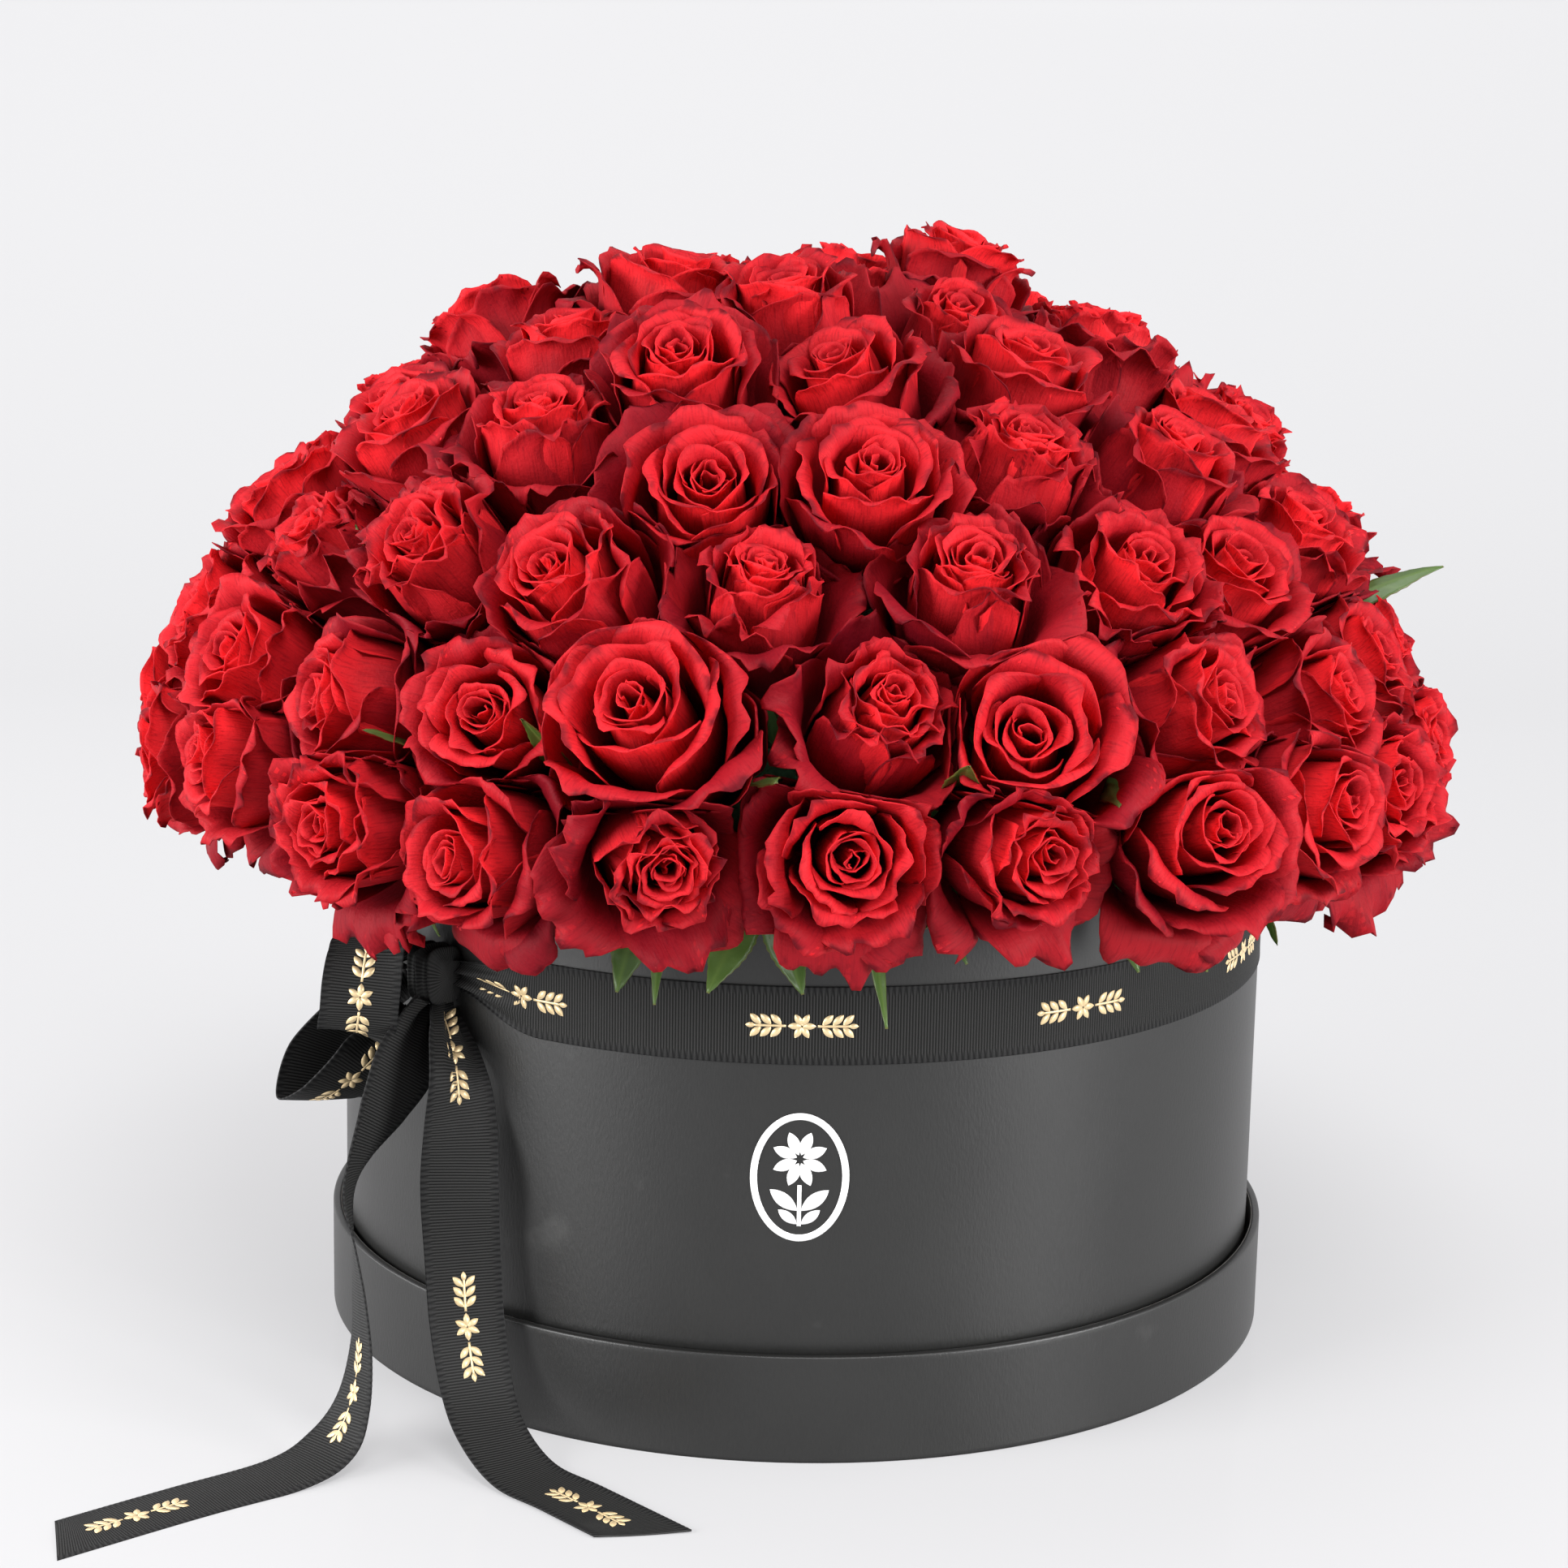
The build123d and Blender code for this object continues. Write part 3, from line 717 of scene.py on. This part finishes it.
def make_gap_leaves():
    """A few leaves that show between heads, and one that sticks out on the right."""
    rng = np.random.default_rng(23)
    leaves = []
    behind = [(ring, index) for ring in (1, 2, 3) for index in range(1, len(rings[ring]) - 1, 3)
              if rings[ring][index][1][1] > 0.3]
    for ring, index in front_gaps + behind:
        first, second = rings[ring][index], rings[ring][(index + 1) % len(rings[ring])]
        facing = unit(first[1] + second[1])
        up_slope = unit(np.array([0, 0, 1.0]) - facing * facing[2])
        foot = (first[0] + second[0]) / 2 - up_slope * gap_leaf_drop - facing * gap_leaf_depth
        tangent = unit(first[0] - second[0]) * rng.normal(0, 0.5) + up_slope * rng.normal(0, 0.5)
        grid, edge, vein = leaf_sheet(rng.uniform(26, 33), rng.uniform(4, 7), 10, 0.3,
                                      rng.uniform(-0.1, 0.3), rng.normal(0, 0.5))
        leaves.append((placed(grid, foot, facing + tangent, tangent + up_slope),
                       edge, vein, rng.uniform()))
    away = outward(side_leaf_azimuth)
    foot = away * side_leaf_radius + side_leaf_shift
    grid, edge, vein = leaf_sheet(44, 6.0, 12, 0.3, 0.30, 0.3)
    leaves.append((placed(grid, foot, away + np.array([0, 0, 0.75]), np.array([0, -0.5, 1.0])),
                   edge, vein, 0.3))
    leafy_piece("leaves_in_dome", leaves, leaf_thickness, leaf_green)


make_hanging_leaves()
make_gap_leaves()

# ---- covering paper

wall_segments = 288
paper_skin = 0.33
rim_corner = 0.9


def revolved_skin(name, profile, body, node, seam_azimuth):
    """Thin closed skin from a closed (radius, height) profile, with a lapped seam."""
    profile = np.array(profile)
    azimuth = np.linspace(0, 360, wall_segments, endpoint=False)
    around = (azimuth - seam_azimuth + 180) % 360 - 180
    lap = 0.12 * (smooth(around, -4, -3.6) - smooth(around, 3.6, 4))
    radius, level = profile[:, 0][:, None], profile[:, 1][:, None]
    angle = np.radians(azimuth)[None, :]
    swell = 0.10 * np.sin(3 * angle + level / 30) + 0.06 * np.sin(7 * angle - level / 19)
    radius = radius + (lap + swell) * (radius > profile[:, 0].mean() - 1.5)
    points = np.stack([radius * np.sin(angle), -radius * np.cos(angle),
                       level * np.ones_like(angle)], -1)
    rows = len(profile)
    quads = grid_quads(rows + 1, wall_segments, wrap=True) % (rows * wall_segments)
    piece = make_mesh(name, points.reshape(-1, 3), quads, paper, body=body)
    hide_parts(node)


def rim_profile(outside, inside, bottom, top, turn_in):
    """Paper up a wall, over its rim with rounded corners, and down the inside."""
    turn = np.linspace(0, np.pi / 2, 5)
    rise, run = rim_corner * np.sin(turn), rim_corner * np.cos(turn)
    levels = np.linspace(bottom, top - rim_corner, 26)
    outer = [(outside, z) for z in levels[:-1]]
    outer += list(zip(outside - rim_corner + run, top - rim_corner + rise))
    outer += list(zip(inside + rim_corner - rise, top - rim_corner + run))
    outer += [(inside, top - turn_in)]
    inner = [(inside + paper_skin, top - turn_in), (inside + paper_skin, top - paper_skin),
             (outside - paper_skin, top - paper_skin)]
    inner += [(outside - paper_skin, z) for z in levels[::-1]]
    return outer + inner


wrap_inside = wrap_radius - board_thickness - 2 * paper_skin
lid_inside = lid_radius - board_thickness - paper_skin
revolved_skin("box_paper", rim_profile(wrap_radius, wrap_inside, wrap_low[2], wrap_high[2], 15.0),
              "box", "box_wrap", 180)
revolved_skin("lid_paper", rim_profile(lid_radius, lid_inside, lid_low[2], lid_high[2], 1.6),
              "lid", "lid_wrap", 150)

# ---- ribbon

rib_pitch = 0.95
steps_per_rib = 3
rib_depth = 0.14
bead_height = 0.07
selvage_share = 0.93
ribbon_columns = np.array([-1, -0.97, -selvage_share, -0.75, -0.5, -0.25, 0,
                           0.25, 0.5, 0.75, selvage_share, 0.97, 1])
steps_per_span = 24
least_floor_gap = 0.05
gathered_half = 5.0
knot_standoff = 1.6


def read_along(distance, known, values):
    """Rows of values, known at some distances, read at other distances."""
    return np.stack([np.interp(distance, known, values[:, k]) for k in range(3)], -1)


class Path:
    """A ribbon's middle line with its side, face and half width, read at any distance."""

    def __init__(self, middles, acrosses, cup=0.5):
        self.cup = cup
        distance = np.r_[0, np.cumsum(np.linalg.norm(np.diff(middles, axis=0), axis=1))]
        self.length = distance[-1]
        self.distance = np.linspace(0, self.length, int(self.length / rib_pitch * steps_per_rib))
        self.middle = read_along(self.distance, distance, middles)
        across = read_along(self.distance, distance, acrosses)
        run = unit(np.gradient(self.middle, axis=0))
        self.half = np.minimum(np.linalg.norm(across, axis=-1), ribbon_half)
        self.side = unit(across - run * (across * run).sum(-1, keepdims=True))
        self.face = np.cross(self.side, run)

    def at(self, distance, share, lift):
        """Points at distances along, shares across (-1 to 1) and heights off the middle layer."""
        half = np.interp(distance, self.distance, self.half)
        gathered = 0.42 * (ribbon_half - half) * np.cos(2.6 * np.pi * share + 0.6)
        cup = -self.cup * share ** 2
        middle = read_along(distance, self.distance, self.middle)
        across = read_along(distance, self.distance, self.side) * (half * share)[..., None]
        face = unit(read_along(distance, self.distance, self.face))
        return middle + across + face * (lift + gathered + cup)[..., None]


def spline_path(stations, origin):
    """Path along a Catmull-Rom curve through stations of (middle, half width across)."""
    values = np.array([[*middle, *across] for middle, across in stations], float)
    first_extra, last_extra = 2 * values[:1] - values[1:2], 2 * values[-1:] - values[-2:-1]
    padded = np.concatenate([first_extra, values, last_extra])
    share = np.linspace(0, 1, steps_per_span, endpoint=False)[:, None]
    pieces = []
    for k in range(len(values) - 1):
        before, first, second, after = padded[k:k + 4]
        pieces.append(0.5 * (2 * first + (second - before) * share
                             + (2 * before - 5 * first + 4 * second - after) * share ** 2
                             + (3 * first - before - 3 * second + after) * share ** 3))
    curve = np.concatenate([*pieces, values[-1:]])
    return Path(curve[:, :3] + origin, curve[:, 3:])


def ribbon_piece(name, path, node, cut_back=0.0, cut_side=1):
    """Grosgrain ribbon: ribs across it, beaded edges, and an end cut at a slant.

    cut_back is how much shorter the edge on cut_side (1 or -1) is than the other.
    """
    distance = path.distance[:, None] * np.ones((1, len(ribbon_columns)))
    share = ribbon_columns[None, :] * np.ones((len(path.distance), 1))
    near_end = smooth(distance, path.length - 2 * cut_back - 1, path.length)
    distance = distance - cut_back * near_end * (1 + cut_side * share) / 2
    rib_turn = (TAU * path.distance / rib_pitch)[:, None] * np.ones_like(share)
    ridge = 0.5 + 0.5 * np.cos(rib_turn)
    beads = 0.5 + 0.5 * np.cos(rib_turn * 0.5)
    selvage = (np.abs(share) > selvage_share - 0.01).astype(float)
    half_thickness = ribbon_half_thickness - rib_depth * (1 - ridge) * (1 - selvage)
    half_thickness = half_thickness + selvage * (bead_height * beads)
    front = path.at(distance, share, half_thickness)
    back = path.at(distance, share, -half_thickness)
    rows, columns = share.shape
    quads = np.concatenate(shell_quads(rows, columns))
    # Second channel: rib and bead height, which sets the painted shade in the grooves and the
    # painted highlight on the tops.
    tint = tint_rows(selvage, np.where(selvage > 0, beads, ridge), 0.0, 1.0)
    points = np.concatenate([front.reshape(-1, 3), back.reshape(-1, 3)])
    points[:, 2] = np.maximum(points[:, 2], least_floor_gap)
    piece = make_mesh(name, points, quads, ribbon, np.concatenate([tint, tint]))
    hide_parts(node)


def band_path():
    """Round the box from the knot and back to it, gathered where it goes into the knot."""
    turn = np.linspace(0, 360, 721)
    radius = (band_high[0] - band_low[0]) / 2 - 0.3
    from_knot = np.radians(np.minimum(turn, 360 - turn)) * radius
    spread = smooth(from_knot, 3, 40)
    level = (band_low[2] + band_high[2]) / 2
    lift = (knot_centre[2] - level) * (1 - spread)
    away = np.array([outward(bow_azimuth + angle) for angle in turn])
    middles = away * radius
    middles[:, 2] = level + lift
    middles += away * (knot_standoff * (1 - spread))[:, None]
    acrosses = np.zeros_like(middles)
    acrosses[:, 2] = gathered_half + (ribbon_half - gathered_half) * spread
    return Path(middles, acrosses, cup=0.0)


# Stations from the knot's centre: the middle line and the half width across it
upper_loop = [
    ((-8, 6, 4), (3, 4, 2)), ((-13, 2, 10), (9, 6, 3)), ((-19, -5, 14), (12, 2, 3)),
    ((-20, -14, 10), (12.2, 0, 2.5)), ((-21, -19, 1), (12.5, 0, 0)),
    ((-22, -19, -9), (12, 2, -2.5)), ((-23, -14, -16), (11.3, 3.5, -4)),
    ((-20, -6, -13), (9, 5, -4)), ((-14, -1, -5), (3, 5, -2)),
]
lower_loop = [
    ((-9, 7, -3), (3, 3, 0)), ((-15, 8, -7), (7.7, 4.5, -1)),
    ((-26, 11, -16), (10.7, 6.2, -1.5)), ((-38, 13, -31), (10.7, 6.2, -1.5)),
    ((-41, 9, -45), (10.7, 6.2, -1.5)), ((-33, 0, -41), (10.7, 6.2, -1.5)),
    ((-22, -2, -31), (10.7, 6.2, -1.5)), ((-14, 3, -21), (6, 3.5, -1)),
    ((-9, 5, -13), (3, 2, 0)),
]
floor_lift = 0.42 - knot_centre[2]    # middle line of a tail that lies on the floor
right_tail = [
    ((3, 0, -10), (1, 5, -1)), ((6, -9, -17), (4, 9, -1)), ((9, -18, -28), (8, 8, -1)),
    ((10, -20, -44), (11, 5, -1)), ((10, -22, -64), (12.5, 0, 0)), ((11, -24, -86), (12, 2, 0)),
    ((13, -30, -108), (11.5, 4, 0)), ((17, -39, -127), (10.5, 6.5, 0)),
    ((23, -50, floor_lift + 8), (9.3, 8.3, 0)), ((34, -64, floor_lift + 1), (8.8, 8.8, 0)),
    ((50, -79, floor_lift), (8.8, 8.8, 0)),
    ((78, -109, floor_lift), (9, 9, 0)),
]
left_tail = [
    ((-3, -3, -9), (1, 5, -1)), ((-5, -9, -17), (6, 8, -2)), ((-9, -16, -28), (9, 8.3, -2)),
    ((-15, -21, -40), (7, 10.2, -1.5)), ((-22, -26, -54), (2.5, 12, -2)),
    ((-25, -29, -66), (0, 12.3, -2)), ((-23, -33, -80), (-2, 12, -2)),
    ((-21, -37, -96), (-3.5, 11.8, -2)), ((-20, -41, -112), (-4.5, 11.5, -1)),
    ((-22, -46, -128), (-6, 10.8, -1)), ((-28, -53, floor_lift + 6), (-8, 9.5, 0)),
    ((-40, -64, floor_lift + 1), (-7.5, 10, 0)), ((-68, -85, floor_lift), (-6.2, 10.8, 0)),
    ((-107, -118, floor_lift), (-8, 10, 0)),
]

band = band_path()
upper, lower = spline_path(upper_loop, knot_centre), spline_path(lower_loop, knot_centre)
right, left = spline_path(right_tail, knot_centre), spline_path(left_tail, knot_centre)
ribbon_piece("grosgrain_band", band, "ribbon_band")
ribbon_piece("upper_loop", upper, "bow_loop_upper")
ribbon_piece("lower_loop", lower, "bow_loop_lower")
ribbon_piece("right_tail", right, "ribbon_tail_right",
             cut_back=16, cut_side=-1)
ribbon_piece("left_tail", left, "ribbon_tail_left",
             cut_back=13, cut_side=1)


knot_half_width, knot_half_depth, knot_half_height = 7.4, 6.0, 8.3


def make_knot():
    """The wrap of ribbon round the middle of the bow, pulled into folds."""
    out = outward(bow_azimuth)
    side = np.cross([0, 0, 1], out)
    rows, columns = 41, 96
    share = np.linspace(-1, 1, rows)[:, None] * np.ones((1, columns))
    turn = np.linspace(0, TAU, columns, endpoint=False)[None, :] * np.ones((rows, 1))
    close = (1 - np.abs(share) ** 7) ** (1 / 3)
    folds = 1.0 * np.cos(share * 8.5 + 0.8 * np.sin(turn))
    folds = folds + 0.55 * np.cos(share * 17 + 1.7 * np.sin(turn + 1))
    ribs = 0.09 * np.cos(turn * 50)
    deep = (knot_half_depth + folds + ribs - 0.8 * share ** 2) * close
    tall = (knot_half_height + folds + ribs) * close
    shape = (np.abs(np.cos(turn)) ** 4 + np.abs(np.sin(turn)) ** 4) ** -0.25
    points = (knot_centre + side * (share * knot_half_width)[..., None]
              + out * (deep * shape * np.cos(turn))[..., None]
              + np.array([0, 0, 1]) * (tall * shape * np.sin(turn))[..., None])
    # Second channel follows the rib height: painted shade in the grooves, painted highlight on the
    # ridges.
    tint = tint_rows(0.0, 0.5 + 5 * ribs, 0.0, 1.0)
    piece = make_mesh("knot_wrap", points.reshape(-1, 3), grid_quads(rows, columns, wrap=True),
                      ribbon, tint)
    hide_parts("bow_knot")


make_knot()

# ---- prints: a generic leaf ornament

print_lift = 0.07
print_sink = 0.02
print_steps = 9


def lens(centre, length, width, angle):
    """Pointed oval as a strip of points: (along, across) pairs on its two edges."""
    share = np.linspace(0, 1, print_steps)
    edge = width / 2 * np.sin(np.pi * share) ** 0.8
    x = (share - 0.5) * length
    strip = np.stack([np.stack([x, edge], -1), np.stack([x, -edge], -1)], 1)
    turn = np.radians(angle)
    rotate = np.array([[np.cos(turn), np.sin(turn)], [-np.sin(turn), np.cos(turn)]])
    return strip @ rotate + np.array(centre)


def bar(start, end, width):
    """Straight line of even width as a strip of points."""
    start, end = np.array(start, float), np.array(end, float)
    across = np.array([start[1] - end[1], end[0] - start[0]])
    across = across / np.linalg.norm(across) * width / 2
    share = np.linspace(0, 1, print_steps)[:, None]
    line = start + (end - start) * share
    return np.stack([line + across, line - across], 1)


def sprig():
    """Six-petalled flower in the middle of a leafy stem, 34 mm long."""
    shapes = [lens((2.3 * np.cos(turn), 2.3 * np.sin(turn)), 4.2, 2.1, np.degrees(turn))
              for turn in np.arange(6) * TAU / 6]
    for way in (-1, 1):
        shapes.append(bar((4.9 * way, 0), (15.5 * way, 0), 0.75))
        for place in (6.6, 9.8, 13.0):
            for up in (-1, 1):
                shapes.append(lens(((place + 1.4) * way, 2.0 * up), 4.7, 2.2, 44 * way * up))
        shapes.append(lens((16.0 * way, 0), 3.2, 1.7, 0))
    return shapes


def print_piece(name, shapes, place, material):
    """Thin raised print. place turns (along, across, lift) into points."""
    points, quads = [], []
    one = np.concatenate(shell_quads(print_steps, 2))
    for number, shape in enumerate(shapes):
        top = place(shape[..., 0], shape[..., 1], print_lift)
        under = place(shape[..., 0], shape[..., 1], -print_sink)
        points += [top.reshape(-1, 3), under.reshape(-1, 3)]
        quads.append(one + 4 * print_steps * number)
    return make_mesh(name, np.concatenate(points), np.concatenate(quads), material)


def ribbon_prints(name, path, places, sign):
    """Gold sprigs at distances along a ribbon, on its face (1) or its back (-1)."""
    shapes = []
    for distance in places:
        shapes += [shape + np.array([distance, 0]) for shape in sprig()]

    def place(along, across, lift):
        return path.at(along, across / ribbon_half, sign * (ribbon_half_thickness + lift))

    print_piece(name, shapes, place, gold)


band_pitch = 94.0
band_margin = 25.0
knot_margin = 19.0
end_margin = 34.0
band_start = np.radians(-bow_azimuth) * (band_high[0] - band_low[0]) / 2
band_places = [band_start + band_pitch * k for k in range(-5, 11)]
band_places = [place for place in band_places if band_margin < place < band.length - band_margin]
ribbon_prints("band_prints", band, band_places, -1)
ribbon_prints("upper_loop_print", upper, [upper.length * 0.55], -1)
ribbon_prints("lower_loop_print", lower, [lower.length * 0.72], 1)
ribbon_prints("right_tail_prints", right,
              [knot_margin, knot_margin + 0.95 * band_pitch, right.length - end_margin], -1)
ribbon_prints("left_tail_prints", left, [left.length - 121, left.length - end_margin], 1)

emblem_standoff = 0.28
badge_line = 2.2


def make_emblem():
    """White oval badge line with a plain flower in it, printed on the front of the box."""
    tall, wide = (emblem_high[2] - emblem_low[2]) / 2, (emblem_high[0] - emblem_low[0]) / 2
    level = (emblem_high[2] + emblem_low[2]) / 2
    shapes = []
    for part in range(24):
        turn = np.linspace(part, part + 1, print_steps) * TAU / 24
        edges = [np.stack([(wide - inset) * np.cos(turn), (tall - inset) * np.sin(turn)], -1)
                 for inset in (0, badge_line)]
        shapes.append(np.stack(edges, 1))
    for number in range(8):
        turn = TAU * number / 8 + np.pi / 8
        middle = (5.0 * np.cos(turn), 6 + 5.4 * np.sin(turn))
        shapes.append(lens(middle, 8.0, 3.7, np.degrees(turn)))
    shapes.append(bar((0, -2.5), (0, -16.0), 1.3))
    for way in (-1, 1):
        shapes.append(lens((4.9 * way, -7.5), 11.0, 4.4, 38 * way))
        shapes.append(lens((3.6 * way, -13.0), 7.5, 3.2, 38 * way))

    def place(across, up, lift):
        angle = across / wrap_radius
        radius = wrap_radius + emblem_standoff + lift
        return np.stack([radius * np.sin(angle), -radius * np.cos(angle), level + up], -1)

    piece = print_piece("front_print", shapes, place, white)
    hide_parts("front_emblem")


make_emblem()

# ---- floor, lights and camera


def curved_backdrop():
    """Pale floor that sweeps up into a backdrop behind the object."""
    width, front, back, height, bend = 6000.0, -3500.0, 1700.0, 3200.0, 700.0
    turn = np.linspace(0, np.pi / 2, 16)
    profile = [(front, 0.0), *zip(back - bend + bend * np.sin(turn), bend - bend * np.cos(turn)),
               (back, height)]
    points = np.array([[(side * width, y, z) for side in (-1, 1)] for y, z in profile])
    m = Nodes("studio_floor")
    m.set(Base_Color=rgb(0.26, 0.26, 0.262), Emission_Color=rgb(0.985, 0.98, 1.0),
          Emission_Strength=0.44, Roughness=0.10, Specular_IOR_Level=0.012)
    floor = make_mesh("studio_floor", points.reshape(-1, 3), grid_quads(len(profile), 2),
                      m.material, body=None)


def area_light(name, place, width, height, power):
    """Soft rectangular light turned towards the roses; sizes in metres, power in watts."""
    light = bpy.data.lights.new(name, "AREA")
    light.shape = "RECTANGLE"
    light.size, light.size_y, light.energy = width, height, power
    lamp = bpy.data.objects.new(name, light)
    lamp.location = place
    away = Vector(place) - Vector((0.0, 0.0, 0.2))
    lamp.rotation_euler = away.to_track_quat("Z", "Y").to_euler()
    bpy.context.scene.collection.objects.link(lamp)


curved_backdrop()
area_light("key", (0.3, -1.3, 2.3), 1.3, 1.3, 43)
area_light("top", (-0.4, 0.5, 2.4), 1.6, 1.6, 12)
area_light("left_softbox", (-1.80, -1.10, 0.62), 1.20, 1.05, 53)
area_light("right_softbox", (1.80, -1.15, 0.60), 0.90, 1.00, 50)
area_light("left_strip", (-1.45, 0.15, 0.45), 1.2, 0.35, 8)
area_light("right_strip", (1.45, 0.15, 0.45), 1.2, 0.35, 2)

world_strength = 0.48
world = bpy.data.worlds.new("studio")
world.use_nodes = True
world.node_tree.nodes["Background"].inputs[0].default_value = rgb(0.95, 0.96, 1.0)
world.node_tree.nodes["Background"].inputs[1].default_value = world_strength
bpy.context.scene.world = world
bpy.context.scene.view_settings.view_transform = "Standard"

camera_height_angle = 12.59
camera_distance = 1244.2
camera_aim = (-7.04, 0.0, 183.4)
camera_roll = 1.01
camera_lens = 81.45
camera = bpy.data.objects.new("camera", bpy.data.cameras.new("camera"))
camera.data.lens, camera.data.sensor_width = camera_lens, 36.0
tilt = np.radians(camera_height_angle)
back_along_view = Vector((0, -np.cos(tilt), np.sin(tilt)))
camera.location = (Vector(camera_aim) + back_along_view * camera_distance) * MM
camera.rotation_euler = (Matrix.Rotation(np.pi / 2 - tilt, 4, "X")
                         @ Matrix.Rotation(np.radians(camera_roll), 4, "Z")).to_euler()
bpy.context.scene.collection.objects.link(camera)
bpy.context.scene.camera = camera
